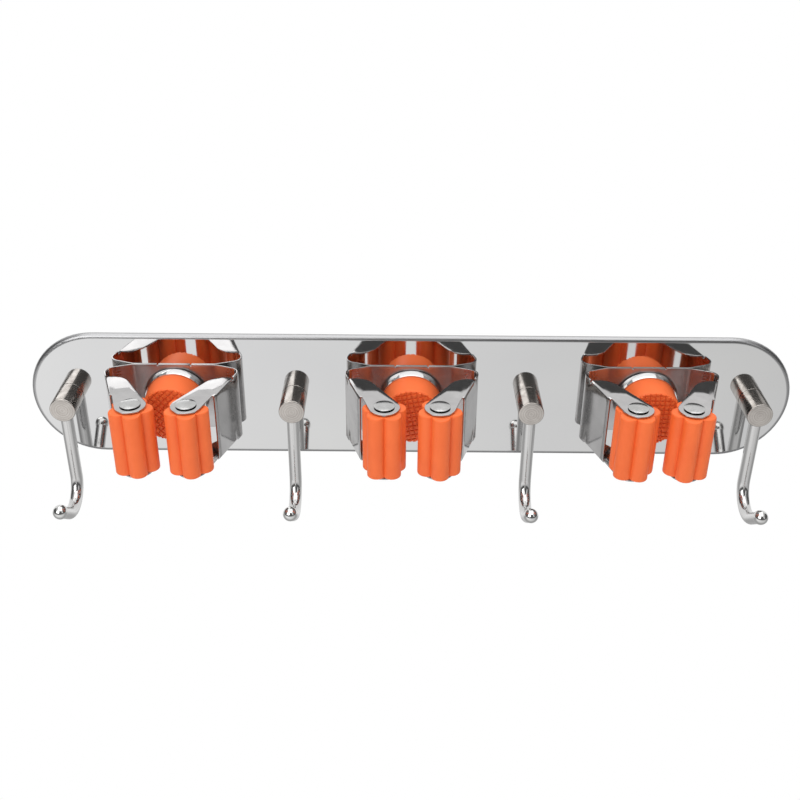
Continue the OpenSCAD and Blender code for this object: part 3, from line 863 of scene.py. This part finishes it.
def thick_sheet(bm, name, *seams):
    """Gives a sheet its thickness, away from the plate, and rounds its cut edges except at a seam's x."""
    bmesh.ops.recalc_face_normals(bm, faces=bm.faces)
    bm.faces.ensure_lookup_table()
    if bm.faces[0].normal.y < 0:
        bmesh.ops.reverse_faces(bm, faces=bm.faces)
    mesh = bpy.data.meshes.new(name)
    bm.to_mesh(mesh)
    bm.free()
    holder = new_holder(mesh)
    solid = holder.modifiers.new("thickness", "SOLIDIFY")
    solid.thickness = STRIP_T
    solid.offset = -1
    solid.use_even_offset = True
    solid.use_quality_normals = True
    thick = evaluated_mesh(holder)
    bm = bmesh.new()
    bm.from_mesh(thick)

    def at_seam(edge):
        return any(all(abs(v.co.x - x) < SEAM_REACH for v in edge.verts) for x in seams)

    round_edges(bm, STRIP_EDGE, keep=at_seam)
    return plain_mesh(bm, name)


def clip_middle(i):
    """The flat of a clip's strip between its two wings, with the rivet's hole."""
    bm = bmesh.new()
    uv = bm.loops.layers.uv.new("UVMap")
    border = [(-SEAM_X, -HALF_H), (SEAM_X, -HALF_H), (SEAM_X, HALF_H), (-SEAM_X, HALF_H)]
    edges = []
    for outline in (border, arc((0, 0), RIVET_HOLE_R, 0, 360, 32)[:-1]):
        loop = [bm.verts.new((CLIP_X[i] + x, FRONT_Y, z)) for x, z in outline]
        edges += [bm.edges.new(pair) for pair in zip(loop, loop[1:] + loop[:1])]
    bmesh.ops.triangle_fill(bm, edges=edges, use_beauty=True)
    for face in bm.faces:
        for loop in face.loops:
            loop[uv].uv = (loop.vert.co.x - CLIP_X[i], loop.vert.co.z)
    mesh = thick_sheet(bm, f"clip_{i}_middle", CLIP_X[i] - SEAM_X, CLIP_X[i] + SEAM_X)
    piece = add_piece(mesh, SPRING_STEEL, "spring_steel", f"clip_back_{i}")
    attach(piece, "rack")


def bumper_cup(i):
    """Pressed cup whose rim leans in towards the bumper."""
    front_floor = CUP_BACK + CUP_T
    inner_r = BUMPER_R + SEAT_GAP
    wall_foot = front_floor + (inner_r - CUP_FLOOR_R) * CUP_SLOPE
    low = Vector((CUP_R - CUP_RIM_TRIM, CUP_RIM_OUT + CUP_RIM_EDGE))
    high = Vector((inner_r + CUP_LIP_W, CUP_OUT))
    across = Vector((high.y - low.y, low.x - high.x)).normalized()
    steps = 8
    rim = []
    for share in [k / steps for k in range(steps + 1)]:
        r, h = low.lerp(high, share) + across * CUP_RIM_BULGE * math.sin(math.pi * share)
        rim.append((min(r, low.x), min(h, CUP_OUT)))
    profile = [
        (RIVET_HOLE_R, CUP_BACK), (CUP_FLOOR_R, CUP_BACK), (low.x - CUP_RIM_EDGE, CUP_RIM_OUT), *rim,
        (inner_r, CUP_OUT), (inner_r, wall_foot), (CUP_FLOOR_R, front_floor), (RIVET_HOLE_R, front_floor),
    ]
    mesh = plain_mesh(lathe(profile, sides=128, ring=True), f"cup_{i}", on_plate(CLIP_X[i]))
    piece = add_piece(mesh, CHROME, "polished_steel", f"bumper_cup_{i}")
    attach(piece, "rack")


def bumper(i, tree):
    """Rubber bumper whose front is covered with small square pads."""
    face = BUMPER_OUT - BUMPER_PAD_H
    back = CUP_BACK + CUP_T + SEAT_GAP
    seat = back + (BUMPER_R - CUP_FLOOR_R) * CUP_SLOPE
    shoulder = arc((BUMPER_R - BUMPER_ROUND, face - BUMPER_ROUND), BUMPER_ROUND, 0, 90, 8)
    bm = lathe([(0, back), (CUP_FLOOR_R, back), (BUMPER_R, seat), *shoulder, (0, face)], sides=96)
    pads = grow(
        tree, Pitch=WAFFLE_PITCH, Pad_Width=WAFFLE_PAD_W, Pad_Top=WAFFLE_PAD_TOP,
        Pad_Height=BUMPER_PAD_H + SEAT_GAP, Field_Radius=WAFFLE_R,
        Turn=math.radians(WAFFLE_TURNS[i]), Finish=RUBBER,
    )
    pads.transform(Matrix.Translation((0, 0, face - SEAT_GAP)))
    pad_bm = bmesh.new()
    pad_bm.from_mesh(pads)
    round_edges(pad_bm, WAFFLE_PAD_ROUND)
    pad_bm.to_mesh(pads)
    pad_bm.free()
    bm.from_mesh(pads)
    mesh = plain_mesh(bm, f"waffle_bumper_{i}", on_plate(CLIP_X[i]), PAD_SHARP_ANGLE)
    piece = add_piece(mesh, RUBBER, "orange_rubber", f"bumper_{i}")
    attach(piece, "rack")


def roller_axle(i, side):
    """Rivet with a low domed head over each ear."""
    dome_h = AXLE_HEAD_H - HEAD_EDGE_H
    flat_r = AXLE_HEAD_R - HEAD_EDGE_ROUND
    dome_r = (flat_r ** 2 + dome_h ** 2) / (2 * dome_h)
    spread = math.degrees(math.asin(flat_r / dome_r))
    top = HALF_H + AXLE_HEAD_H
    under_head = HALF_H + HEAD_NECK_H
    dome = arc((0, top - dome_r), dome_r, 90 - spread, 90, 10)[:-1] + [(0, top)]
    edge = arc((flat_r, HALF_H + HEAD_EDGE_H - HEAD_EDGE_ROUND), HEAD_EDGE_ROUND, 0, 90, 4)[:-1]
    neck = [(AXLE_R, HALF_H), (HEAD_NECK_R, HALF_H), (HEAD_NECK_R, under_head), (AXLE_HEAD_R, under_head)]
    upper = [*neck, *edge, *dome]
    lower = [(r, -z) for r, z in reversed(upper)]
    place = Matrix.Translation(middle_of(f"roller_axle_{i}_{side}"))
    mesh = plain_mesh(lathe(lower + upper, sides=64), f"axle_{i}_{side}", place)
    piece = add_piece(mesh, RIVET_STEEL, "rivet_steel", f"roller_axle_{i}_{side}")
    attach(piece, f"arm_{i}_{side}")


def roller(i, side, tree):
    """Lobed rubber roller on its rivet, with its own turn."""
    own_turn = math.radians(ROLLER_TURNS[i][side])
    front_lobe = -math.pi / 2 - SIDES[side] * own_turn
    mesh = grow(
        tree, Radius=ROLLER_R, Lobe_Radius=LOBE_R, Lobes=LOBES, Height=ROLLER_H, End_Round=ROLLER_ROUND,
        Bore_Radius=ROLLER_BORE_R, Turn=front_lobe - math.pi / LOBES, Finish=RUBBER,
    )
    mesh.name = f"lobed_roller_{i}_{side}"
    settle(mesh, Matrix.Translation(middle_of(f"roller_axle_{i}_{side}")))
    piece = add_piece(mesh, RUBBER, "orange_rubber", f"roller_{i}_{side}")
    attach(piece, f"roller_{i}_{side}")


# Stage, light and camera

FLOOR_Z = -0.35
FLOOR_FRONT_Y = -3.0
BACKDROP_Y = 1.5
BACKDROP_TOP = 2.4
STAGE_HALF_W = 3.0
SWEEP_R = 0.5
STAGE_TONE = (0.9, 0.9, 0.9, 1)

# How bright the stage is in reflections: a painted pool of light in front of the part, fading by distance
# from a spot, and a painted shadow that makes it dimmer under the part
PAINTED_LIGHT_SPOT = (-0.55, -0.62, FLOOR_Z)
PAINTED_LIGHT_LEVEL = 1.14
FAR_LEVEL = 0.6
FAR_AWAY = 1.7
FRONT_END_Y = -0.05
PAINTED_SHADOW_Y = 0.05
PAINTED_SHADOW_LEVEL = 0.5
PAINTED_SHADOW_START = 0.15
PAINTED_SHADOW_END = 0.45

# Camera at the photograph's viewing angle, with its turns in degrees
CAMERA_SENSOR_W = 36
CAMERA_LENS = 48.72
CAMERA_PLACE = (-7.32 * MM, FRONT_Y - 533.86 * MM, 304.74 * MM)
CAMERA_TURNS = (60.1236, -0.4364, 0.1459)


def stage_white():
    """White to the camera and diffuse for shadows. In reflections it shows a painted pool of light that
    dims towards the far side, and a painted shadow below the part.
    """
    finish = bpy.data.materials.new("stage_white")
    finish.use_nodes = True
    graph = Graph(finish.node_tree)
    graph.tree.nodes.clear()
    rays = graph.add("ShaderNodeLightPath").outputs
    seen = graph.math("MAXIMUM", rays["Is Camera Ray"], rays["Is Glossy Ray"])
    seen = graph.math("MAXIMUM", seen, rays["Is Transmission Ray"])
    place = graph.add("ShaderNodeTexCoord").outputs["Object"]
    # Painted pool of light: in reflections the stage's level falls off with distance from a spot on the
    # floor in front
    away = graph.add("ShaderNodeVectorMath", {0: place, 1: PAINTED_LIGHT_SPOT}, operation="DISTANCE")
    painted_light_falloff = graph.spread(away.outputs["Value"], PAINTED_LIGHT_LEVEL, FAR_LEVEL, 0.0, FAR_AWAY)
    depth = graph.add("ShaderNodeSeparateXYZ", {0: place}).outputs["Y"]
    open_level = graph.between(graph.math("LESS_THAN", depth, FRONT_END_Y), 1.0, painted_light_falloff)
    # Painted shadow: in reflections the stage is dimmer in a band under the part
    from_painted_shadow = graph.math("ABSOLUTE", graph.math("SUBTRACT", depth, PAINTED_SHADOW_Y))
    painted_shadow_share = graph.spread(from_painted_shadow, PAINTED_SHADOW_LEVEL, 1.0, PAINTED_SHADOW_START, PAINTED_SHADOW_END)
    mirrored = graph.math("MULTIPLY", open_level, painted_shadow_share)
    level = graph.between(rays["Is Glossy Ray"], 1.0, mirrored)
    shine = graph.add("ShaderNodeEmission", {"Color": (1, 1, 1, 1), "Strength": level})
    matt = graph.add("ShaderNodeBsdfDiffuse", {"Color": STAGE_TONE})
    mixed = graph.add("ShaderNodeMixShader", {0: seen, 1: matt.outputs[0], 2: shine.outputs[0]})
    graph.add("ShaderNodeOutputMaterial", {"Surface": mixed.outputs[0]})
    return finish


def stage():
    """Floor and backdrop as one swept sheet."""
    bm = bmesh.new()
    line = [(FLOOR_FRONT_Y, FLOOR_Z), (0.0, FLOOR_Z)]
    line += arc((BACKDROP_Y - SWEEP_R, FLOOR_Z + SWEEP_R), SWEEP_R, -90, 0, 12)
    line.append((BACKDROP_Y, BACKDROP_TOP))
    rails = [[bm.verts.new((x, y, z)) for y, z in line] for x in (-STAGE_HALF_W, STAGE_HALF_W)]
    for k in range(len(line) - 1):
        bm.faces.new((rails[0][k], rails[1][k], rails[1][k + 1], rails[0][k + 1]))
    sheet = bpy.data.objects.new("stage_sweep", plain_mesh(bm, "stage_sweep"))
    bpy.context.scene.collection.objects.link(sheet)
    sheet.data.materials.append(stage_white())


def softbox(name, place, aim, width, height, level):
    """Area light whose face is as bright as level."""
    light = bpy.data.lights.new(name, "AREA")
    light.shape = "RECTANGLE"
    light.size = width
    light.size_y = height
    light.energy = level * math.pi * width * height
    box = bpy.data.objects.new(name, light)
    bpy.context.scene.collection.objects.link(box)
    box.location = place
    box.rotation_euler = (Vector(aim) - Vector(place)).to_track_quat("-Z", "Y").to_euler()


def studio_world(ambient, dark):
    """White to the camera, dim in reflections, and soft fill for diffuse surfaces."""
    world = bpy.data.worlds.new("studio")
    bpy.context.scene.world = world
    world.use_nodes = True
    graph = Graph(world.node_tree)
    graph.tree.nodes.clear()
    rays = graph.add("ShaderNodeLightPath").outputs
    fill = graph.between(rays["Is Glossy Ray"], ambient, dark)
    seen = graph.math("MAXIMUM", rays["Is Camera Ray"], rays["Is Transmission Ray"])
    level = graph.between(seen, fill, 1.0)
    back = graph.add("ShaderNodeBackground", {"Color": (1, 1, 1, 1), "Strength": level})
    graph.add("ShaderNodeOutputWorld", {"Surface": back.outputs[0]})


def camera():
    """Camera that sees the part as the photograph does."""
    data = bpy.data.cameras.new("camera")
    data.sensor_width = CAMERA_SENSOR_W
    data.lens = CAMERA_LENS
    view = bpy.data.objects.new("camera", data)
    bpy.context.scene.collection.objects.link(view)
    view.location = CAMERA_PLACE
    view.rotation_euler = [math.radians(turn) for turn in CAMERA_TURNS]
    bpy.context.scene.camera = view


# The part, then its stage

dress_cad_nodes()
rod_tree = hook_rod_tree()
for hook in HOOKS:
    hook_post(hook)
    hook_rod(hook, rod_tree)
    hook_ball(hook)
lobed_tree = roller_tree()
pad_tree = waffle_tree()
for clip in CLIPS:
    clip_middle(clip)
    bumper_cup(clip)
    bumper(clip, pad_tree)
    for clip_side in SIDES:
        clip_wing(clip, clip_side)
        roller_axle(clip, clip_side)
        roller(clip, clip_side, lobed_tree)

stage()
softbox("overhead", place=(0, -0.1, 1.3), aim=(0, -0.1, 0), width=1.8, height=2.0, level=1.4)
softbox("ceiling", place=(0, 0, 2.2), aim=(0, 0, 0), width=6.0, height=4.0, level=0.4)
softbox("front_left", place=(-0.9, -1.38, 0.85), aim=(-0.1, 0, 0), width=1.35, height=1.15, level=2.6)
softbox("front_right", place=(1.25, -1.28, 0.8), aim=(0.1, 0, 0), width=0.6, height=1.0, level=0.8)
studio_world(ambient=0.42, dark=0.13)
camera()
bpy.context.scene.view_settings.view_transform = "Standard"
